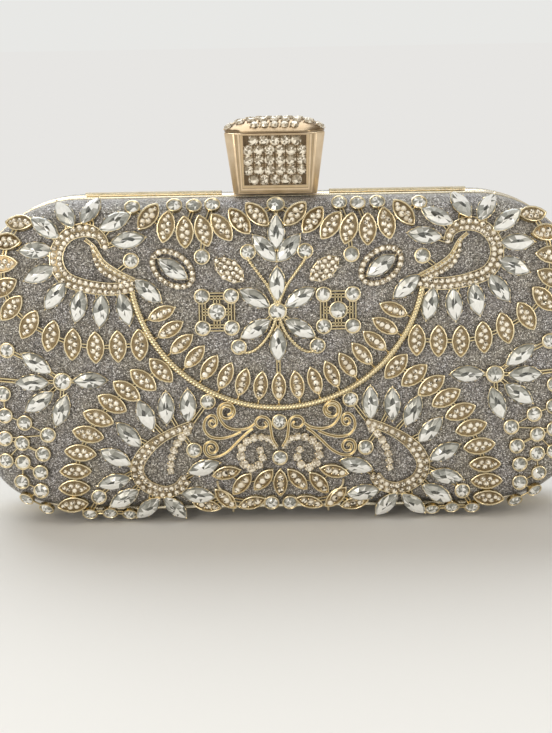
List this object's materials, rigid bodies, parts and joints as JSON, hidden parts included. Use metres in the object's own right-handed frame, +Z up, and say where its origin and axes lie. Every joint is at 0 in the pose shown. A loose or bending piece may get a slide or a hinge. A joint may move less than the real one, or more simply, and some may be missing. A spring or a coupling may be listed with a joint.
{
  "type": "evening clutch",
  "caption": "Hard box evening clutch in two hinged halves, with jewelled leaf, flower and paisley castings over a glitter fabric front and a stone-set rocking knob latch.",
  "frame": {"origin": "on the ground under the middle of the case, centred in width and depth", "axes": "+X to the viewer's right along the case, -Y out of the jewelled front, +Z up to the knob"},
  "size_m": [0.2, 0.0466, 0.1301],
  "materials": {
    "champagne_gold": "polished pale champagne gold plate",
    "rose_gold": "polished, a little warmer than the frame",
    "steel": "plain bright steel, hidden in use",
    "glitter_fabric": "silver-grey glitter cloth glued to the shell",
    "moulded_shell": "plain moulded, covered on both sides",
    "satin_lining": "grey satin over a formed card",
    "crystal": "clear cut stones with foil backs, set close",
    "set_stones": "clear foil-backed stones in thin champagne gold settings"
  },
  "bodies": {
    "back_half": {"back_frame": "champagne_gold", "back_fabric_cover": "glitter_fabric", "back_shell": "moulded_shell", "back_lining": "satin_lining", "back_hinge_leaf_left": "champagne_gold", "back_hinge_leaf_right": "champagne_gold", "hinge_pin_left": "steel", "hinge_pin_right": "steel", "top_rail_left": "champagne_gold", "top_rail_right": "champagne_gold", "latch_bracket": "steel", "bracket_rivet_left": "steel", "bracket_rivet_right": "steel", "latch_pivot_pin": "steel", "latch_spring": "steel"},
    "front_half": {"front_frame": "champagne_gold", "front_fabric_cover": "glitter_fabric", "front_shell": "moulded_shell", "front_lining": "satin_lining", "front_hinge_leaf_left": "champagne_gold", "front_hinge_leaf_right": "champagne_gold", "latch_catch": "steel", "top_swag": "set_stones", "centre_butterfly": "set_stones", "rope_fan": "set_stones", "scrollwork": "set_stones", "foot_border": "set_stones", "wing_leaf_left": "set_stones", "wing_leaf_right": "set_stones", "stone_cross_left": "set_stones", "stone_cross_right": "set_stones", "pave_eye_left": "set_stones", "pave_eye_right": "set_stones", "upper_paisley_left": "set_stones", "upper_paisley_right": "set_stones", "leaf_necklace_left": "set_stones", "leaf_necklace_right": "set_stones", "side_flower_left": "set_stones", "side_flower_right": "set_stones", "leaf_band_left": "set_stones", "leaf_band_right": "set_stones", "lower_paisley_left": "set_stones", "lower_paisley_right": "set_stones", "corner_stones_left": "set_stones", "corner_stones_right": "set_stones", "pave_horseshoe_left": "set_stones", "pave_horseshoe_right": "set_stones"},
    "knob_latch": {"knob_body": "rose_gold", "knob_front_panel": "crystal", "knob_dome": "crystal", "latch_lever": "steel", "knob_screw": "steel"}
  },
  "joints": [
    {"name": "lid_hinge", "type": "hinge", "parent": "back_half", "child": "front_half", "pos_m": [0, 0.0013, 0.0015], "axis": [1, 0, 0], "range_deg": [0, 70]},
    {"name": "knob_rock", "type": "hinge", "parent": "back_half", "child": "knob_latch", "pos_m": [0, 0.0047, 0.108], "axis": [-1, 0, 0], "range_deg": [0, 8], "stiffness_Nm_per_rad": 0.02, "springref_deg": -5.73}
  ]
}
